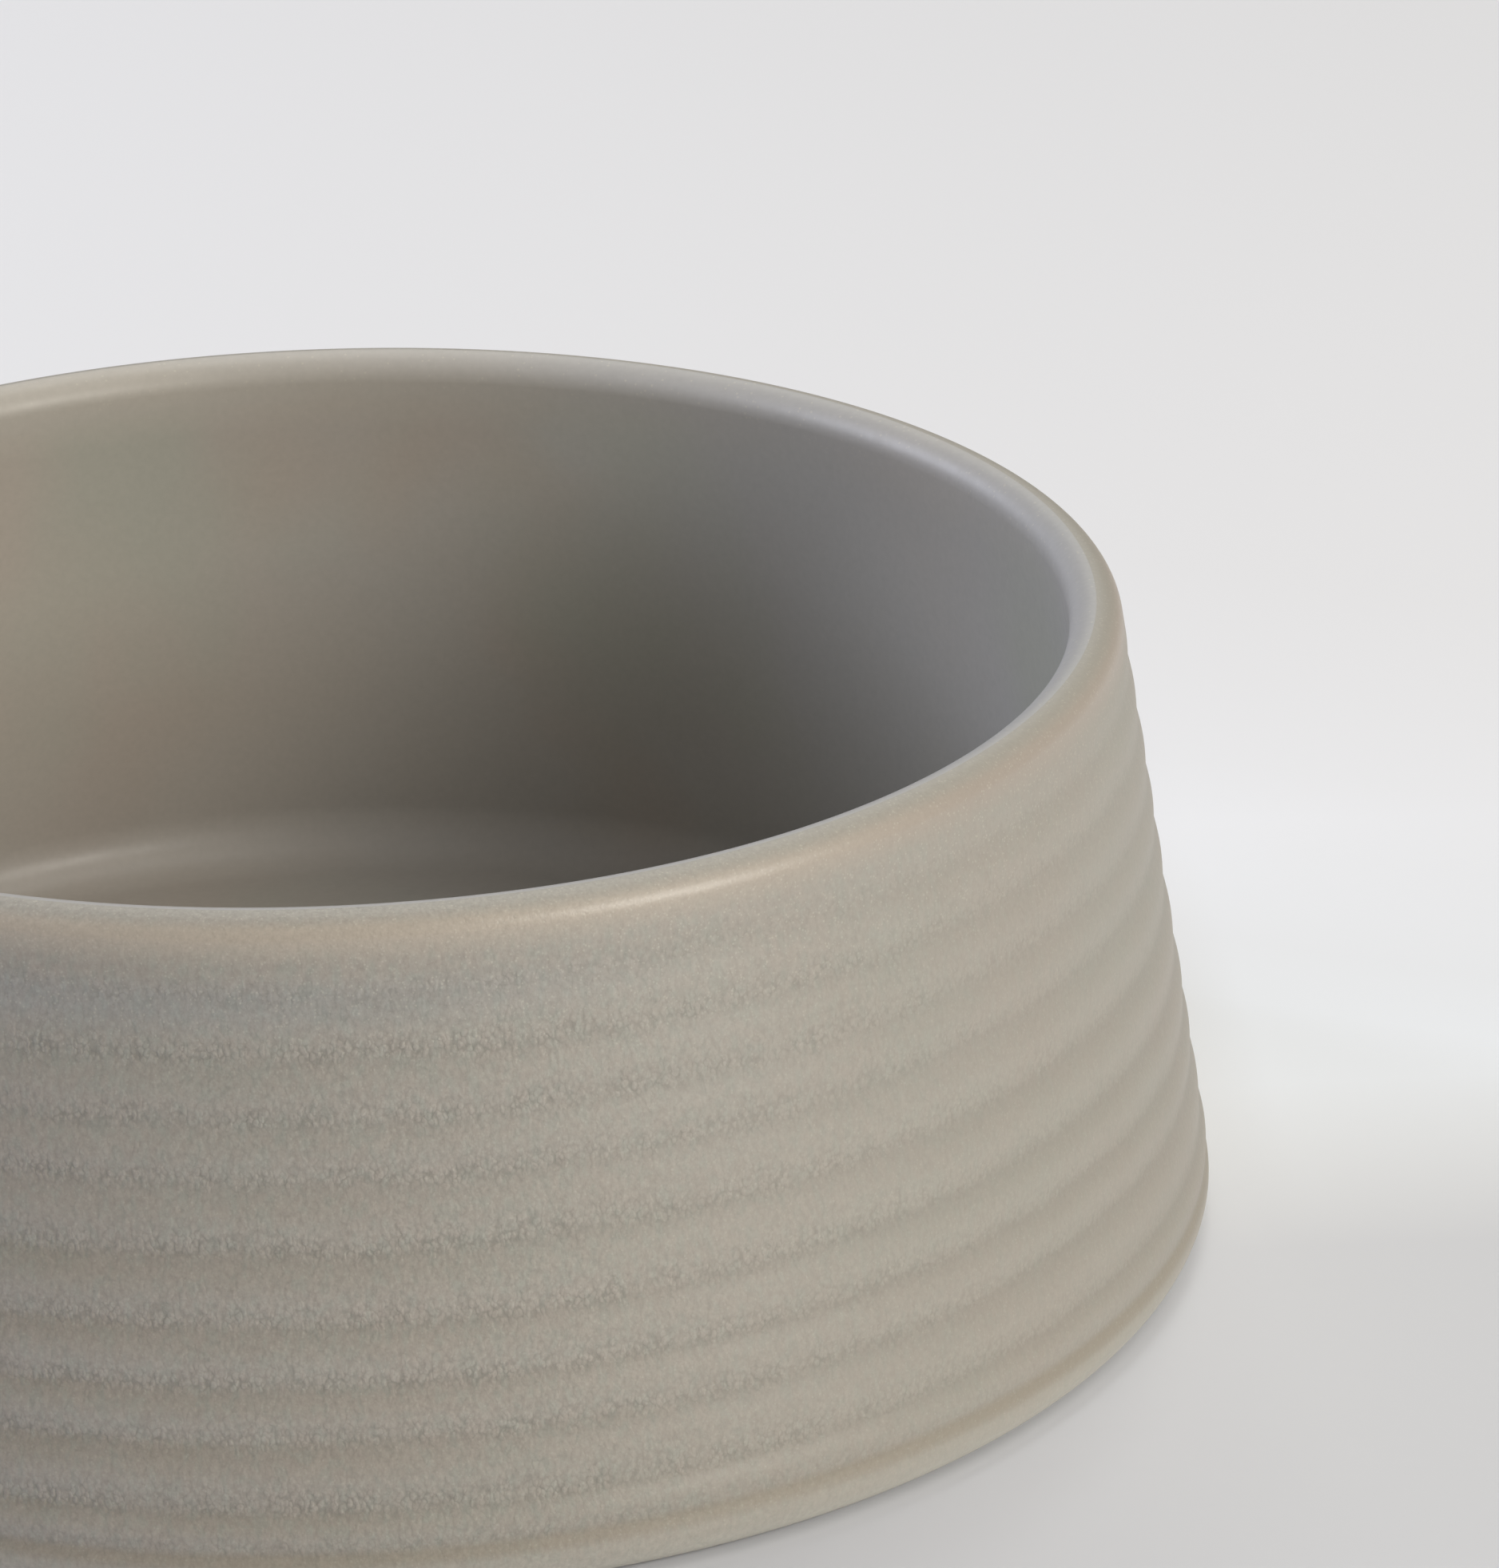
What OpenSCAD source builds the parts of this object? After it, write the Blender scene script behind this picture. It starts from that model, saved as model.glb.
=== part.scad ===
// Stoneware bowl: a clay body with three coats of glaze.
// The wall leans in from a wide, round heel to a full-round rim, and carries soft turned ribs.
// Lengths are in millimetres. The origin is the middle of the foot, on the table, with +Z up.
// Every outline is a half section: a list of [radius, height] points that is turned about Z.

/* [Bowl] */
// Outer diameter over the glaze at the heel, which is the widest place
base_d = 180.3; // [150:0.1:220]
// Outer diameter over the glaze at the rim
rim_d = 162.2; // [140:0.1:190]
// Height from the table to the top of the rim
bowl_h = 66.9; // [50:0.1:95]

/* [Wall] */
// Thickness of the glazed wall at the rim, which is rounded over in full
wall_t = 5.5; // [4.2:0.1:7]
// Thickness of the glazed wall where it comes down to the floor
wall_low_t = 8.4; // [4.2:0.1:10]
// Radius of the round heel over the glaze
heel_r = 4.8; // [3.5:0.1:8]
// Radius of the corner between the wall and the floor inside
corner_r = 5.6; // [3:0.1:12]

/* [Floor] */
// Thickness of the floor with its glaze, above the recess
floor_t = 3.7; // [2.6:0.1:7]
// Height of the foot ring, which is the depth of the recess under the floor
foot_h = 1.2; // [0.8:0.1:2]
// Width of the flat ring that the bowl stands on
foot_w = 5; // [3:0.1:9]
// Radius of the recess's round corner
recess_r = 2.2; // [2:0.1:4]
// Radius of the foot ring's inner edge
edge_r = 0.6; // [0.3:0.1:1]

/* [Ribs] */
// Depth of the grooves between the ribs, over the glaze
rib_h = 0.34; // [0.1:0.02:0.5]
// Length over which the lowest and the highest groove run out
rib_fade = 2.6; // [1.5:0.1:3]
// Depth of the highest groove, as a share of the lowest one's
rib_top_share = 0.5; // [0.3:0.05:1]

/* [Glaze] */
// Thickness of the glaze
glaze_t = 0.35; // [0.2:0.05:0.6]
// Extra thickness of the glaze that pools in the grooves
pool_t = 0.15; // [0:0.05:0.3]
// Angle below the horizontal at which the outer glaze stops on the heel
outer_stop_a = 70; // [55:1:75]
// Turn of the recess's corner that stays bare above the foot ring's edge
base_bare_a = 20; // [5:1:35]

/* [Hidden] */

// Places of the grooves up the wall, as shares of its slant
groove_shares = [0.008, 0.08, 0.194, 0.284, 0.384, 0.501, 0.615, 0.71, 0.814, 0.917];
// Steps of the outline in a rib and in a groove's run-out
rib_steps = 6;
fade_steps = 3;
// Largest turn in one step of a round corner
step_a = 10;
// Facets of a full turn
turn_facets = 144;

// Centres of the round rim and the round heel
rim_r = wall_t / 2;
rim_c = [rim_d / 2 - rim_r, bowl_h - rim_r];
heel_c = [base_d / 2 - heel_r, heel_r];

// The outer wall is the line that touches both rounds
span = rim_c - heel_c;
wall_a = atan2(span.y, span.x) - acos((heel_r - rim_r) / norm(span));
wall_out = direction(wall_a);
wall_up = [-wall_out.y, wall_out.x];
wall_foot = heel_c + heel_r * wall_out;
slant = norm(rim_c + rim_r * wall_out - wall_foot);

// The inner wall touches the rim too, and turns in towards the floor as the wall thickens
inner_a = wall_a - atan((wall_low_t - wall_t) / slant);
inner_out = direction(inner_a);

// Centre of the corner between the inner wall and the floor
floor_z = foot_h + floor_t;
corner_z = floor_z + corner_r;
corner_rise = (corner_z - rim_c.y) * inner_out.y;
corner_c = [rim_c.x - (rim_r + corner_r + corner_rise) / inner_out.x, corner_z];

// Foot ring: its outer edge is where the bare clay, running on straight from the glaze, meets the table
clay_heel_r = heel_r - glaze_t;
bare_from = heel_c + clay_heel_r * direction(-outer_stop_a);
land_out = bare_from.x - bare_from.y * tan(outer_stop_a);
land_in = land_out - foot_w;

// Recess: a flat ceiling and a round corner that rolls over the edge onto the foot ring
clay_recess_r = recess_r + glaze_t;
edge_c = [land_in, edge_r];
recess_z = foot_h - recess_r;
edge_rise = edge_r - recess_z;
recess_c = [edge_c.x - sqrt(pow(clay_recess_r + edge_r, 2) - pow(edge_rise, 2)), recess_z];
edge_a = asin(edge_rise / (clay_recess_r + edge_r));
base_stop_a = edge_a + base_bare_a;

// Places of the grooves as lengths up the wall, with the lowest and the highest first and last
groove_at = [for (share = groove_shares) share * slant];
groove_first = groove_at[0];
groove_last = groove_at[len(groove_at) - 1];

function direction(a) = [cos(a), sin(a)];

function reversed(list) = [for (i = [len(list) - 1:-1:0]) list[i]];

function after_first(list) = [for (i = [1:len(list) - 1]) list[i]];

function arc(centre, r, from_a, to_a) =
    let (steps = ceil(abs(to_a - from_a) / step_a))
    [for (i = [0:steps]) centre + r * direction(from_a + (to_a - from_a) * i / steps)];

// How deep a place lies, from 1 in a groove to 0 on the crest half a turn of the wave further on
function dip(turn) = (1 + cos(360 * turn)) / 2;

// How much of the full depth the grooves have at a length up the wall
function strength(along) = 1 - (1 - rib_top_share) * max(along, 0) / slant;

// Pairs of a length up the wall and the share of the groove's depth there, from bottom to top
rib_path = concat(
    [for (i = [fade_steps - 1:-1:1]) [groove_first - rib_fade * i / fade_steps, dip(i / fade_steps / 2)]],
    [for (k = [0:len(groove_at) - 2], i = [0:rib_steps - 1])
        [groove_at[k] + (groove_at[k + 1] - groove_at[k]) * i / rib_steps, dip(i / rib_steps)]],
    [for (i = [0:fade_steps]) [groove_last + rib_fade * i / fade_steps, dip(i / fade_steps / 2)]]
);

// Angle on the round heel at a length below the wall's foot
function heel_a(along) = wall_a + along / heel_r * 180 / PI;

// A place under the smooth outside, which is round on the heel and straight on the wall
function under_outside(along, depth) = along < 0
    ? heel_c + (heel_r - depth) * direction(heel_a(along))
    : wall_foot + along * wall_up - depth * wall_out;

// The outside from the glaze's lower end to the rim's crest, a skin and a groove's depth under the smooth form
function outside(skin, groove_h) = concat(
    arc(heel_c, heel_r - skin, -outer_stop_a, heel_a(groove_first - rib_fade)),
    [for (p = rib_path) under_outside(p[0], skin + groove_h * p[1] * strength(p[0]))],
    arc(rim_c, rim_r - skin, wall_a, 90)
);

// The inside from the rim's crest to the middle of the floor, a skin under the glaze's face
function inside(skin) = concat(
    arc(rim_c, rim_r - skin, 90, 180 + inner_a),
    arc(corner_c, corner_r + skin, inner_a, -90),
    [[0, floor_z - skin]]
);

// The recess from its middle to the end of its glaze in the corner, a skin above the glaze's face
function underside(skin) = concat(
    [[0, foot_h + skin]],
    arc(recess_c, recess_r + skin, 90, base_stop_a)
);

// The bare foot ring from the end of the recess's glaze to where the bare clay meets the table
foot_ring = concat(
    after_first(arc(recess_c, clay_recess_r, base_stop_a, edge_a)),
    after_first(arc(edge_c, edge_r, 180 + edge_a, 270)),
    [[land_out, 0]]
);

// Fired clay: wall, floor and the bare foot ring
module stoneware_body() {
    color("#b39a7c")
        rotate_extrude($fn = turn_facets)
            polygon(concat(
                underside(glaze_t),
                foot_ring,
                outside(glaze_t, rib_h + pool_t),
                after_first(inside(glaze_t))
            ));
}

// Outer coat, from just above the foot ring to the rim's crest
module outer_glaze() {
    color("#aca59a")
        rotate_extrude($fn = turn_facets)
            polygon(concat(
                outside(0, rib_h),
                reversed(outside(glaze_t, rib_h + pool_t))
            ));
}

// Liner coat, from the rim's crest over the floor
module inner_glaze() {
    color("#8a8479")
        rotate_extrude($fn = turn_facets)
            polygon(concat(
                inside(0),
                reversed(inside(glaze_t))
            ));
}

// Coat in the recess under the floor, clear of the foot ring
module base_glaze() {
    color("#9c9488")
        rotate_extrude($fn = turn_facets)
            polygon(concat(
                underside(0),
                reversed(underside(glaze_t))
            ));
}

stoneware_body();
outer_glaze();
inner_glaze();
base_glaze();
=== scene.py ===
import math

import bpy
import numpy as np
from mathutils import Matrix, Vector


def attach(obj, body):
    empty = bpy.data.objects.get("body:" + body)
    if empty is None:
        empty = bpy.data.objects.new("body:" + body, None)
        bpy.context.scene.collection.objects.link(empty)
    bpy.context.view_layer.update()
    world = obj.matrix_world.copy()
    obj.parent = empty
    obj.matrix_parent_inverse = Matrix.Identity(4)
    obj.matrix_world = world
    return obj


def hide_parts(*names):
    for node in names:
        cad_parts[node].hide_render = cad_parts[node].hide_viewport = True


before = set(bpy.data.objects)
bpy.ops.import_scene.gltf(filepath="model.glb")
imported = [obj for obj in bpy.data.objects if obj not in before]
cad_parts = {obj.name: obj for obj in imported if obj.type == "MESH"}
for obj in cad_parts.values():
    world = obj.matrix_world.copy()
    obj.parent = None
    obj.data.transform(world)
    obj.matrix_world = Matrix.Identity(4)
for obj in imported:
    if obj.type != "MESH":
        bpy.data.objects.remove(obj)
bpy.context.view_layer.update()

print("frame loaded:", sorted(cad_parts))


# shader maths
class Wire:
    # a socket in a node tree, so that shader maths reads as plain sums
    def __init__(self, tree, socket=None):
        self.tree = tree
        self.socket = socket

    def node(self, kind, settings, inputs, output=0):
        made = self.tree.nodes.new(kind)
        for name, value in settings.items():
            if name == "stops":
                setStops(made.color_ramp, value)
            else:
                setattr(made, name, value)
        for name, value in inputs.items():
            if isinstance(value, Wire):
                self.tree.links.new(value.socket, made.inputs[name])
            else:
                made.inputs[name].default_value = value
        return Wire(self.tree, made.outputs[output])

    def maths(self, operation, first, second):
        return self.node("ShaderNodeMath", {"operation": operation}, {0: first, 1: second})

    def __add__(self, other):
        return self.maths("ADD", self, other)

    def __sub__(self, other):
        return self.maths("SUBTRACT", self, other)

    def __rsub__(self, other):
        return self.maths("SUBTRACT", other, self)

    def __mul__(self, other):
        return self.maths("MULTIPLY", self, other)

    def __truediv__(self, other):
        return self.maths("DIVIDE", self, other)

    __radd__ = __add__
    __rmul__ = __mul__


def setStops(ramp, stops):
    # stops are (place, grey) pairs
    while len(ramp.elements) < len(stops):
        ramp.elements.new(0.5)
    for element, (place, grey) in zip(ramp.elements, stops):
        element.position = place
        element.color = (grey, grey, grey, 1)


def paint(code):
    # a colour written as on screen, as the linear values that a shader takes
    parts = [int(code[i:i + 2], 16) / 255 for i in (0, 2, 4)]
    return (*[p / 12.92 if p <= 0.04045 else ((p + 0.055) / 1.055) ** 2.4 for p in parts], 1)


def blend(factor, first, second):
    return factor.node("ShaderNodeMix", {"data_type": "RGBA"}, {0: factor, 6: first, 7: second}, 2)


def wash(colour, factor, code):
    # lays some of another colour over a colour
    return blend(factor, colour, paint(code))


def shaded(colour, amount):
    return colour.node("ShaderNodeVectorMath", {"operation": "SCALE"}, {0: colour, 3: amount})


def axis(places, which):
    # one coordinate: 0 is across, 1 is back and 2 is up
    return places.node("ShaderNodeSeparateXYZ", {}, {0: places}, which)


def towards(places, way):
    # how far a place lies along a way, times the way's length
    return places.node("ShaderNodeVectorMath", {"operation": "DOT_PRODUCT"}, {0: places, 1: way}, 1)


def attribute(places, name):
    return places.node("ShaderNodeAttribute", {"attribute_name": name}, {}, 2)


def stretched(places, amounts):
    return places.node("ShaderNodeVectorMath", {"operation": "MULTIPLY"}, {0: places, 1: amounts})


def grain(places, scale, detail=2.0, amounts=(1, 1, 1)):
    # soft noise, 0 to 1, with the scale in grains per metre
    return places.node("ShaderNodeTexNoise", {},
                       {"Vector": stretched(places, amounts), "Scale": scale, "Detail": detail})


def ramp(value, *stops):
    return value.node("ShaderNodeValToRGB", {"stops": stops}, {0: value})


def dots(places, scale, reach, chosen):
    # small round dots, scale to a metre, full at the first reach and gone at the second, where chosen is 1
    away = places.node("ShaderNodeTexVoronoi", {"feature": "F1"}, {"Vector": places, "Scale": scale})
    return ramp(away, (reach[0], 1), (reach[1], 0)) * chosen


def bump(height, strength, distance):
    return height.node("ShaderNodeBump", {}, {"Strength": strength, "Distance": distance, "Height": height})


def newMaterial(name, roughness):
    made = bpy.data.materials.new(name)
    made.use_nodes = True
    shader = made.node_tree.nodes["Principled BSDF"]
    shader.inputs["Roughness"].default_value = roughness
    start = Wire(made.node_tree)
    places = start.node("ShaderNodeTexCoord", {}, {}, 3)
    return made, shader, places


def plug(wire, shader, name):
    wire.tree.links.new(wire.socket, shader.inputs[name])


# the bowl's form, as in the solids, in metres
bowl = {
    "heelRadius": 0.09015,       # over the glaze, at the widest
    "rimRadius": 0.0811,
    "height": 0.0669,
    "wall": 0.0055,
    "lowWall": 0.0084,          # wall where it meets the floor
    "heelRound": 0.0048,
    "floorTop": 0.0049,
    "cornerRound": 0.0056,
    "glaze": 0.00035,
    "grooveDepth": 0.00034,     # over the glaze
    "pooled": 0.00015,          # extra glaze in a groove
    "topStrength": 0.5,         # of the highest groove, against the lowest
    "runOut": 0.0026,           # length over which the first and last groove run out
    "ribBelow": 0.0054,         # from the lowest groove to where the next one down would be
    "ribAbove": 0.0060,
    "grooves": (0.008, 0.08, 0.194, 0.284, 0.384, 0.501, 0.615, 0.71, 0.814, 0.917),
    "glazeEnd": -70,            # degrees round the heel
}


def facing(degrees):
    return np.array([math.cos(math.radians(degrees)), math.sin(math.radians(degrees))])


rimRound = bowl["wall"] / 2
rimCentre = np.array([bowl["rimRadius"] - rimRound, bowl["height"] - rimRound])
heelCentre = np.array([bowl["heelRadius"] - bowl["heelRound"], bowl["heelRound"]])
span = rimCentre - heelCentre
wallTurn = math.degrees(math.atan2(span[1], span[0])
                        - math.acos((bowl["heelRound"] - rimRound) / np.hypot(*span)))
wallFoot = heelCentre + bowl["heelRound"] * facing(wallTurn)
slant = float(np.hypot(*(rimCentre + rimRound * facing(wallTurn) - wallFoot)))
wallUp = facing(wallTurn + 90)
grooves = np.array(bowl["grooves"]) * slant
innerTurn = wallTurn - math.degrees(math.atan((bowl["lowWall"] - bowl["wall"]) / slant))
cornerTop = bowl["floorTop"] + bowl["cornerRound"]
cornerRise = (cornerTop - rimCentre[1]) * facing(innerTurn)[1]
cornerCentre = np.array([rimCentre[0] - (rimRound + bowl["cornerRound"] + cornerRise) / facing(innerTurn)[0],
                         cornerTop])


def outsidePlace(along, depth):
    # radius and height of a place a length up the outside, a depth under its smooth form
    along = np.asarray(along, float)
    heelTurn = np.radians(wallTurn) + along / bowl["heelRound"]
    rimTurn = np.radians(wallTurn) + (along - slant) / rimRound
    turned = np.where(along < 0, heelTurn, rimTurn)
    centre = np.where((along < 0)[..., None], heelCentre, rimCentre)
    reach = np.where(along < 0, bowl["heelRound"], rimRound) - depth
    onRound = centre + reach[..., None] * np.stack([np.cos(turned), np.sin(turned)], -1)
    onWall = wallFoot + along[..., None] * wallUp - np.asarray(depth)[..., None] * facing(wallTurn)
    return np.where(((along < 0) | (along > slant))[..., None], onRound, onWall)


def ribCount(along):
    # counts the grooves going up: whole in a groove, and a fraction on the rib above it
    places = np.concatenate([[grooves[0] - bowl["ribBelow"]], grooves, [grooves[-1] + bowl["ribAbove"]]])
    return np.interp(along, places, np.arange(-1, len(grooves) + 1))


def grooveDip(along):
    # 1 in a groove and 0 on a crest
    count = ribCount(along)
    dip = (1 + np.cos(2 * np.pi * count)) / 2
    below = np.clip((grooves[0] - along) / bowl["runOut"], 0, 1)
    above = np.clip((along - grooves[-1]) / bowl["runOut"], 0, 1)
    ends = (1 + np.cos(np.pi * np.maximum(below, above))) / 2
    dip = np.where((along < grooves[0]) | (along > grooves[-1]), ends, dip)
    return dip * (1 - (1 - bowl["topStrength"]) * np.clip(along, 0, None) / slant)


def wander(angles, strength, seed):
    # slow hand-made wander round the turn, the same on each run
    shape = np.random.default_rng(seed)
    waves = sum(shape.uniform(-1, 1) / n * np.cos(n * angles + shape.uniform(0, 6.3))
                for n in (2, 3, 5, 7, 11))
    return strength * waves


# mesh making
def turnedMesh(name, rings, attributes=None):
    # rings is an array of [ring, place round the turn, xyz]; the last ring joins back to the first
    ringCount, turns = rings.shape[:2]
    ring, step = np.meshgrid(np.arange(ringCount), np.arange(turns), indexing="ij")
    nextRing, nextStep = (ring + 1) % ringCount, (step + 1) % turns
    faces = np.stack([ring * turns + step, ring * turns + nextStep,
                      nextRing * turns + nextStep, nextRing * turns + step], -1).reshape(-1, 4)
    mesh = bpy.data.meshes.new(name)
    mesh.from_pydata(rings.reshape(-1, 3).tolist(), [], faces.tolist())
    for label, values in (attributes or {}).items():
        layer = mesh.attributes.new(label, "FLOAT", "POINT")
        layer.data.foreach_set("value", np.asarray(values, float).ravel())
    mesh.polygons.foreach_set("use_smooth", [True] * len(mesh.polygons))
    mesh.set_sharp_from_angle(angle=math.radians(50))
    mesh.update()
    piece = bpy.data.objects.new(name, mesh)
    bpy.context.scene.collection.objects.link(piece)
    return piece


def turned(outline, angles):
    # an outline of [radius, height], or one for each angle, turned about Z
    outline = np.asarray(outline)
    if outline.ndim == 2:
        outline = np.repeat(outline[:, None, :], len(angles), 1)
    radius, height = outline[..., 0], outline[..., 1]
    return np.stack([radius * np.cos(angles), radius * np.sin(angles), height], -1)


def finishPiece(piece, material, node):
    piece.data.materials.append(material)
    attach(piece, "root")
    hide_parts(node)


# outer coat
outerCoat = {
    "turns": 480,
    "wallStep": 0.00030,
    "grooveWander": 0.00022,    # how far a groove strays up and down
    "depthWander": 0.12,        # share of its depth that comes and goes round the turn
    "swell": 0.00003,           # unevenness of the wall
    "swellLength": 0.0041,
    "coatLength": 64,           # mm from the wall's foot to about the rim's crest
    "curds": 2200,              # to a metre
    "runs": 2100,
    "sand": 3600,
    "relief": 0.00008,
    "thick": "a39e95",          # where the glaze has run down and gathered above a groove
    "thin": "999388",           # where it has run off, just below a groove
    "coolThin": "99968d",       # the same on the upper wall
    "brown": "928979",          # patches of it where it is thinnest, low on the wall
    "pink": "a0968c",
    "olive": "949a8f",
    "green": "8d9b91",
    "tan": "a2988d",            # where it breaks over the rim's shoulder
    "paleTan": "b3a99b",
    # the heel's own smooth glaze, made paler by painted bounce light from the floor
    "heel": "c7c4b9",
    "crest": "9f9b92",
    "mist": "939a9f",           # the cool band under the rim
    "speck": "c2beb0",
    "crack": "7a786f",          # between the curds
    "roughness": 0.51,
}


def outerRings():
    angles = np.arange(outerCoat["turns"]) * 2 * math.pi / outerCoat["turns"]
    heelEnd = math.radians(bowl["glazeEnd"] - wallTurn) * bowl["heelRound"]
    rimEnd = slant + math.radians(90 - wallTurn) * rimRound
    heel = np.linspace(heelEnd, 0, 26)[:-1]
    wall = np.linspace(0, slant, int(slant / outerCoat["wallStep"]))
    rim = np.linspace(slant, rimEnd, 34)[1:]
    along = np.concatenate([heel, wall, rim])[:, None]
    stray = wander(angles, outerCoat["grooveWander"], 3)[None, :]
    level = along + stray * np.clip((along + 0.002) / 0.006, 0, 1) * np.clip((slant - along) / 0.006, 0, 1)
    fullness = 1 + wander(angles, outerCoat["depthWander"], 8)[None, :]
    swell = outerCoat["swell"] * np.sin(along / outerCoat["swellLength"] + wander(angles, 2.0, 5)[None, :])
    swell = swell * np.clip(along / 0.01, 0, 1) * np.clip((slant - along) / 0.01, 0, 1)
    depth = bowl["grooveDepth"] * grooveDip(level) * fullness + swell
    face = outsidePlace(np.broadcast_to(along, level.shape), depth)
    backAlong = along[::-4]
    clayDepth = bowl["glaze"] + (bowl["grooveDepth"] + bowl["pooled"]) * grooveDip(backAlong)
    back = outsidePlace(np.broadcast_to(backAlong, (len(backAlong), len(angles))),
                        np.broadcast_to(clayDepth, (len(backAlong), len(angles))))
    outline = np.concatenate([face, back])
    counts = np.concatenate([ribCount(level), np.broadcast_to(ribCount(backAlong), back.shape[:2])])
    heights = np.concatenate([np.broadcast_to(along, level.shape),
                              np.broadcast_to(backAlong, back.shape[:2])])
    return turned(outline, angles), {"ribCount": counts, "wallHeight": heights * 1000}


def outerGlaze():
    # satin glaze that has run down each rib and curdled where it stopped
    made, shader, places = newMaterial("outerGlaze", outerCoat["roughness"])
    rib = attribute(places, "ribCount")
    height = attribute(places, "wallHeight") / outerCoat["coatLength"]
    across = axis(places, 0) * 5.5 + 0.5
    side = towards(places, (-3.4, -11.6, 0))

    # where on the bowl and on its rib a place lies
    fine = grain(places, 1900, 3, (1, 1, 0.75))
    strayed = rib + (fine - 0.5) * 0.26 + (grain(places, 90, 2) - 0.5) * 0.14
    phase = places.node("ShaderNodeMath", {"operation": "FRACT"}, {0: strayed})
    onRibs = ramp(height, (0.0, 0), (0.03, 1), (0.84, 1), (0.9, 0))
    lower = ramp(height, (0.42, 1), (0.62, 0.3))
    strong = ramp(across, (0.58, 1), (0.73, 0.7), (0.85, 0.4), (0.95, 0.28))
    patchy = ramp(across, (0.36, 1), (0.56, 0.35), (0.8, 0.2))
    shoulder = ramp(height, (0.9, 0), (0.94, 1), (0.955, 0.85), (0.975, 0.0))

    # curds: small drops crowded about each groove, a little drawn out on the rib above it
    bent = places.node("ShaderNodeTexNoise", {}, {"Vector": places, "Scale": 1300, "Detail": 1.0}, 1)
    bent = places.node("ShaderNodeVectorMath", {"operation": "MULTIPLY_ADD"},
                       {0: bent, 1: (0.0005, 0.0005, 0.0005), 2: places})
    drops = places.node("ShaderNodeTexVoronoi", {"feature": "SMOOTH_F1"},
                        {"Vector": stretched(bent, (1, 1, 0.68)), "Scale": outerCoat["curds"],
                         "Smoothness": 0.18})
    runs = grain(bent, outerCoat["runs"], 2, (1, 1, 0.55))
    sand = grain(places, outerCoat["sand"], 1)
    crowd = ramp(phase, (0.0, 0.75), (0.06, 1), (0.2, 0.8), (0.38, 0.4),
                 (0.7, 0.28), (0.88, 0.35), (1.0, 0.75))
    scattered = ramp(grain(places, 420, 2, (1, 1, 0.8)), (0.4, 0.7), (0.6, 1.25))
    crowd = crowd * onRibs * strong * scattered
    relief = (0.6 - drops) * crowd * 0.9
    relief = relief + ((runs - 0.5) * 0.4 + (sand - 0.5) * 0.15) * (0.3 + strong * 0.7)

    # the run of the glaze down each rib, thick above a groove and thin below it, as colour on the left; on
    # the right the same swing is painted shade, a lightness change across each rib
    gathered = ramp(phase, (0.0, 0.2), (0.08, 0.7), (0.2, 1), (0.38, 1),
                    (0.55, 0.65), (0.75, 0.25), (0.92, 0.0), (1.0, 0.1))
    ribRunAndShade = (gathered - 0.62) * onRibs * (0.35 + lower * 0.65)
    thin = blend(lower, paint(outerCoat["coolThin"]), paint(outerCoat["thin"]))
    patch = ramp(grain(places, 34, 2, (1, 1, 1.4)), (0.42, 0), (0.62, 1))
    thin = wash(thin, patch * lower * patchy * 0.7, outerCoat["brown"])
    colour = wash(thin, 0.62 + ribRunAndShade * patchy, outerCoat["thick"])

    # broad clouds and fine mottle
    blush = ramp(grain(places, 55, 2), (0.45, 0), (0.65, 1))
    colour = wash(colour, blush * 0.25, outerCoat["pink"])
    moss = ramp(grain(places, 42, 2, (1, 1, 2.2)), (0.48, 0), (0.66, 1))
    colour = wash(colour, moss * 0.12, outerCoat["olive"])
    mottle = grain(places, 1000, 2, (1, 1, 0.6))
    colour = wash(colour, ramp(mottle, (0.52, 0), (0.64, 1)) * strong * 0.17, outerCoat["green"])
    colour = wash(colour, ramp(mottle, (0.36, 1), (0.48, 0)) * strong * 0.28, outerCoat["pink"])

    # bands: the cool one under the rim, the shoulder, the crest, the lowest groove and the heel
    mist = ramp(height, (0.79, 0), (0.83, 1), (0.855, 1), (0.885, 0)) * ramp(side, (0.75, 0), (1.0, 1))
    colour = wash(colour, mist * 0.3, outerCoat["mist"])
    tan = blend(ramp(side, (0.4, 0), (0.95, 1)), paint(outerCoat["tan"]), paint(outerCoat["paleTan"]))
    colour = blend(shoulder, colour, tan)
    colour = wash(colour, ramp(height, (0.955, 0), (0.985, 1)), outerCoat["crest"])
    below = height * 4 + 0.5
    lowest = ramp(below, (0.43, 0), (0.49, 1), (0.53, 1), (0.58, 0))
    colour = wash(colour, lowest * 0.6, outerCoat["brown"])
    # the heel: its own smooth glaze, paler with painted bounce light from the floor
    colour = wash(colour, ramp(below, (0.25, 1), (0.46, 0)) * 0.8, outerCoat["heel"])

    # cracks between the curds, and specks
    cracked = ramp(drops, (0.42, 0), (0.66, 1)) * crowd
    colour = wash(colour, cracked * 0.42, outerCoat["crack"])
    chosen = ramp(grain(places, 1500, 1), (0.44, 0), (0.52, 1)) * ramp(height, (0.70, 0.45), (0.85, 1))
    colour = wash(colour, dots(places, 2400, (0.18, 0.32), chosen) * 0.32, outerCoat["speck"])

    grit = (runs - 0.5) * 0.36 * (1 - shoulder * 0.7) + (fine - 0.5) * 0.2 + (sand - 0.5) * 0.2
    # painted shade: on the right the rib swing lightens and darkens each rib
    shade = 1 + ribRunAndShade * (1.1 - patchy) * 0.135 + grit * strong
    plug(shaded(colour, shade), shader, "Base Color")
    plug(outerCoat["roughness"] + (fine - 0.5) * 0.12 - shoulder * 0.13, shader, "Roughness")
    plug(bump(relief, 1.0, outerCoat["relief"]), shader, "Normal")
    return made


rings, notes = outerRings()
outer = turnedMesh("outerCoat", rings, notes)
finishPiece(outer, outerGlaze(), "outer_glaze")
print("outer coat:", len(outer.data.vertices), "points")


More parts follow.
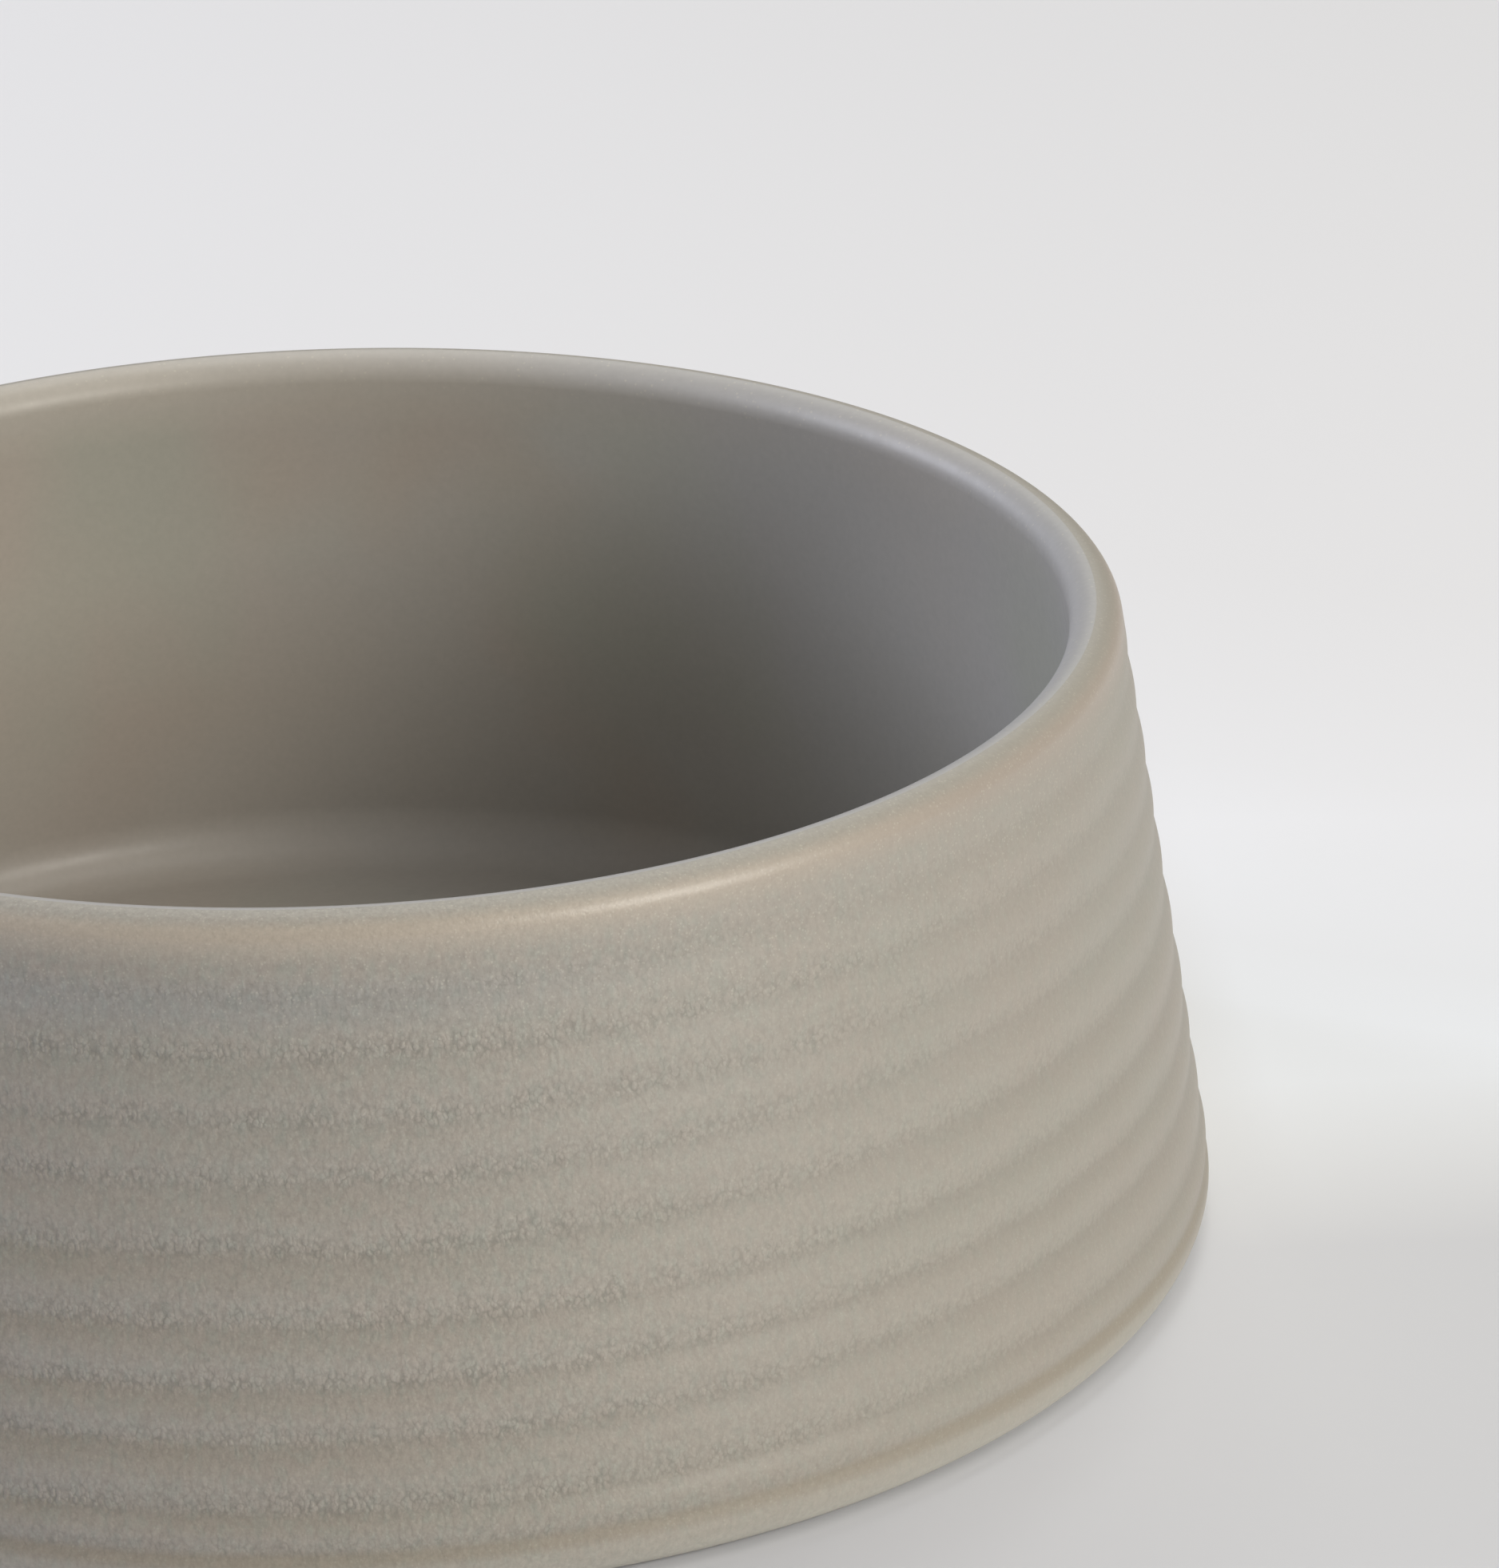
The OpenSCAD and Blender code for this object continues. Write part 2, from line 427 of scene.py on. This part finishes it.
# liner coat
liner = {
    "turns": 360,
    # painted light: the warm colour where the key lights the wall, the cool one where the window lights it
    "keyLitWarm": "aca49a",
    "windowLitCool": "a4a5a3",
    "blush": "a99e93",
    "ashen": "a2a59a",
    "crest": "a7a6a4",
    "keyLitCrest": "b4aea4",      # painted light: the rim and the wall just under it, warmer and lighter on the key-lit side
    "roughness": 0.39,
    "relief": 0.00004,
}


def linerRings():
    angles = np.arange(liner["turns"]) * 2 * math.pi / liner["turns"]
    outlines = []
    for skin, back in ((0.0, False), (bowl["glaze"], True)):
        rim = [rimCentre + (rimRound - skin) * facing(a) for a in np.linspace(90, 180 + innerTurn, 40)]
        reach = bowl["cornerRound"] + skin
        corner = [cornerCentre + reach * facing(a) for a in np.linspace(innerTurn, -90, 26)]
        wall = [rim[-1] + (corner[0] - rim[-1]) * t for t in np.linspace(0, 1, 40)[1:-1]]
        floor = [np.array([r, bowl["floorTop"] - skin]) for r in np.linspace(corner[-1][0], 0.0002, 40)[1:]]
        path = rim + wall + corner + floor
        outlines += path[::-1] if back else path
    return turned(outlines, angles)


def linerGlaze():
    # smooth satin liner, with painted light: warm where the warm key lights the wall and cooler where the
    # cool window lights it
    made, shader, places = newMaterial("linerGlaze", liner["roughness"])
    up = axis(places, 2)
    cloud = grain(places, 20, 3, (1, 1, 0.8))
    side = towards(places, (9.0, 2.0, 0)) + (cloud - 0.5) * 0.7
    # painted light: warm on the key-lit side, cool on the window-lit side
    colour = blend(ramp(side, (0.0, 0), (0.75, 1)), paint(liner["keyLitWarm"]), paint(liner["windowLitCool"]))
    blush = ramp(grain(places, 31, 2), (0.50, 0), (0.68, 1))
    colour = wash(colour, blush * 0.55, liner["blush"])
    ashen = ramp(grain(places, 26, 3, (1, 1, 0.6)), (0.48, 0), (0.66, 1))
    colour = wash(colour, ashen * 0.55, liner["ashen"])

    # the rim, warmer and lighter at the back on the key-lit side as painted light
    rim = ramp((up - 0.060) * 140, (0.2, 0), (0.8, 1))
    colour = wash(colour, rim * 0.9, liner["crest"])
    # painted light on the key-lit back of the rim
    keyLitSide = ramp(axis(places, 1) * 10 + 0.5, (0.3, 0), (0.8, 1)) * ramp(side, (0.1, 1), (0.75, 0))
    underRim = ramp((up - 0.0585) * 140, (0, 0), (0.7, 1))
    colour = wash(colour, keyLitSide * underRim * 0.9, liner["keyLitCrest"])
    chosen = ramp(grain(places, 800, 1), (0.46, 0), (0.52, 1)) * rim
    colour = wash(colour, dots(places, 1250, (0.12, 0.22), chosen) * 0.5, outerCoat["speck"])

    # painted light: the floor and the corner, a little paler and cooler, lifting their shade
    paintedFloorLight = ramp(up * 40, (0.3, 1), (1.0, 0))
    colour = wash(colour, paintedFloorLight * 0.25, liner["windowLitCool"])
    shade = 1 + (grain(places, 1300, 2) - 0.5) * 0.12 + paintedFloorLight * 0.09
    plug(shaded(colour, shade), shader, "Base Color")
    dimples = grain(places, 600, 3)
    plug(liner["roughness"] + (dimples - 0.5) * 0.14 + rim * 0.09, shader, "Roughness")
    plug(bump(dimples, 0.6, liner["relief"]), shader, "Normal")
    return made


inner = turnedMesh("linerCoat", linerRings())
finishPiece(inner, linerGlaze(), "inner_glaze")
print("liner coat:", len(inner.data.vertices), "points")


# bare clay and the glaze in the recess, on the solids
clay = {"colour": "b09b80", "dark": "927e66", "speck": "4f4236", "roughness": 0.8}
recessGlaze = {"colour": "9b958a", "thin": "a08c70", "roughness": 0.42}


def bareClay():
    made, shader, places = newMaterial("bareClay", clay["roughness"])
    cloud = ramp(grain(places, 160, 4), (0.4, 0), (0.65, 1))
    colour = blend(cloud * 0.6, paint(clay["colour"]), paint(clay["dark"]))
    colour = wash(colour, dots(places, 420, (0.12, 0.2), 0.7), clay["speck"])
    plug(colour, shader, "Base Color")
    sand = grain(places, 2200, 3)
    plug(clay["roughness"] + (sand - 0.5) * 0.16, shader, "Roughness")
    plug(bump(sand, 0.8, 0.00008), shader, "Normal")
    return made


def glazeUnder():
    made, shader, places = newMaterial("glazeUnder", recessGlaze["roughness"])
    cloud = ramp(grain(places, 45, 3), (0.35, 0), (0.75, 1))
    colour = blend(cloud * 0.35, paint(recessGlaze["colour"]), paint(recessGlaze["thin"]))
    plug(colour, shader, "Base Color")
    peel = grain(places, 800, 2)
    plug(recessGlaze["roughness"] + (peel - 0.5) * 0.15, shader, "Roughness")
    plug(bump(peel, 0.7, 0.00006), shader, "Normal")
    return made


for node, material in (("stoneware_body", bareClay()), ("base_glaze", glazeUnder())):
    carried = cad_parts[node]
    carried.data.materials.clear()
    carried.data.materials.append(material)
print("clay and recess finished")


# stage
# painted shade in the front colour and painted light in the paler band's colour
stage = {"size": 4.0, "colour": "e0e0e1", "front": "dadce2", "paintedLightColour": "f3f7fe", "roughness": 0.9}
room = {"colour": (1.0, 0.95, 0.97, 1), "strength": 0.155}


def paperFloor():
    # painted light: the paper is a little paler in a soft band right of the bowl, thinning the bowl's cast
    # shadow there; painted shade makes it darker and bluer in front
    made, shader, places = newMaterial("paperFloor", stage["roughness"])
    across, back = axis(places, 0), axis(places, 1)
    paintedLightBand = ramp((back + across * 0.5) * 4,
               (0.36, 1), (0.43, 0.62), (0.55, 0.32), (0.65, 0.16), (0.76, 0.08), (0.92, 0))
    # painted shade: the step to darker, bluer paper in front
    shadeStep = ramp(back * 10 + 0.5, (0.28, 0), (0.68, 1))
    right = ramp(across * 4, (0.32, 0), (0.4, 1), (0.6, 1), (0.95, 0))
    colour = blend(shadeStep, paint(stage["front"]), paint(stage["colour"]))
    colour = wash(colour, paintedLightBand * shadeStep * right, stage["paintedLightColour"])
    plug(colour, shader, "Base Color")
    return made


def addFloor():
    half = stage["size"]
    mesh = bpy.data.meshes.new("floor")
    corners = [(-half, -half, 0), (half, -half, 0), (half, half, 0), (-half, half, 0)]
    mesh.from_pydata(corners, [], [(0, 1, 2, 3)])
    floor = bpy.data.objects.new("floor", mesh)
    bpy.context.scene.collection.objects.link(floor)
    mesh.materials.append(paperFloor())


def addWorld():
    world = bpy.data.worlds.new("room")
    bpy.context.scene.world = world
    world.use_nodes = True
    background = world.node_tree.nodes["Background"]
    background.inputs["Color"].default_value = room["colour"]
    background.inputs["Strength"].default_value = room["strength"]


lamps = {
    "key": {"round": -45, "up": 22, "away": 1.3, "size": (0.5, 0.5), "power": 10.9,
            "colour": (1.0, 0.965, 0.89)},
    "window": {"round": 160, "up": 25, "away": 1.3, "size": (0.85, 0.5), "power": 13.1,
               "colour": (0.83, 0.865, 1.0)},
    "front": {"round": -30, "up": 60, "away": 1.3, "size": (0.6, 0.6), "power": 2.7,
              "colour": (1.0, 0.97, 0.90)},
    "back": {"round": 80, "up": 40, "away": 1.3, "size": (0.6, 0.6), "power": 2.1,
             "colour": (1.0, 1.0, 0.9)},
    "top": {"round": 60, "up": 68, "away": 1.3, "size": (0.5, 0.5), "power": 3.9,
            "colour": (1.0, 0.99, 0.93)},
}


def addLamp(name, lamp):
    target = Vector((0, 0, 0.03))
    around, up = math.radians(lamp["round"]), math.radians(lamp["up"])
    toLamp = Vector((math.cos(around) * math.cos(up), math.sin(around) * math.cos(up), math.sin(up)))
    light = bpy.data.lights.new(name, "AREA")
    light.shape = "RECTANGLE"
    light.size, light.size_y = lamp["size"]
    light.energy = lamp["power"]
    light.color = lamp["colour"]
    placed = bpy.data.objects.new(name, light)
    bpy.context.scene.collection.objects.link(placed)
    placed.location = target + toLamp * lamp["away"]
    placed.rotation_mode = "QUATERNION"
    placed.rotation_quaternion = toLamp.to_track_quat("Z", "Y")


addFloor()
addWorld()
for name, lamp in lamps.items():
    addLamp(name, lamp)
print("stage and lamps set")


# camera, where the photograph was taken from
camera = {
    "place": (0, -0.69549, 0.33282),
    "down": 22.442,             # degrees
    "right": 3.539,
    "lean": -1.074,
    "focal": 9181.4,            # in the photograph's pixels
    "longSide": 1963,
}


def addCamera():
    down, right, lean = [math.radians(camera[key]) for key in ("down", "right", "lean")]
    ahead = Vector((math.sin(right) * math.cos(down), math.cos(right) * math.cos(down), -math.sin(down)))
    level = Vector((math.cos(right), -math.sin(right), 0))
    above = level.cross(ahead)
    across = math.cos(lean) * level + math.sin(lean) * above
    upward = math.cos(lean) * above - math.sin(lean) * level
    lens = bpy.data.cameras.new("camera")
    lens.sensor_width = 36
    lens.lens = camera["focal"] * 36 / camera["longSide"]
    lens.clip_start = 0.01
    placed = bpy.data.objects.new("camera", lens)
    bpy.context.scene.collection.objects.link(placed)
    facingTurn = Matrix((across, upward, -ahead)).transposed().to_4x4()
    placed.matrix_world = Matrix.Translation(Vector(camera["place"])) @ facingTurn
    bpy.context.scene.camera = placed


addCamera()
bpy.context.scene.view_settings.view_transform = "Standard"
print("camera set")
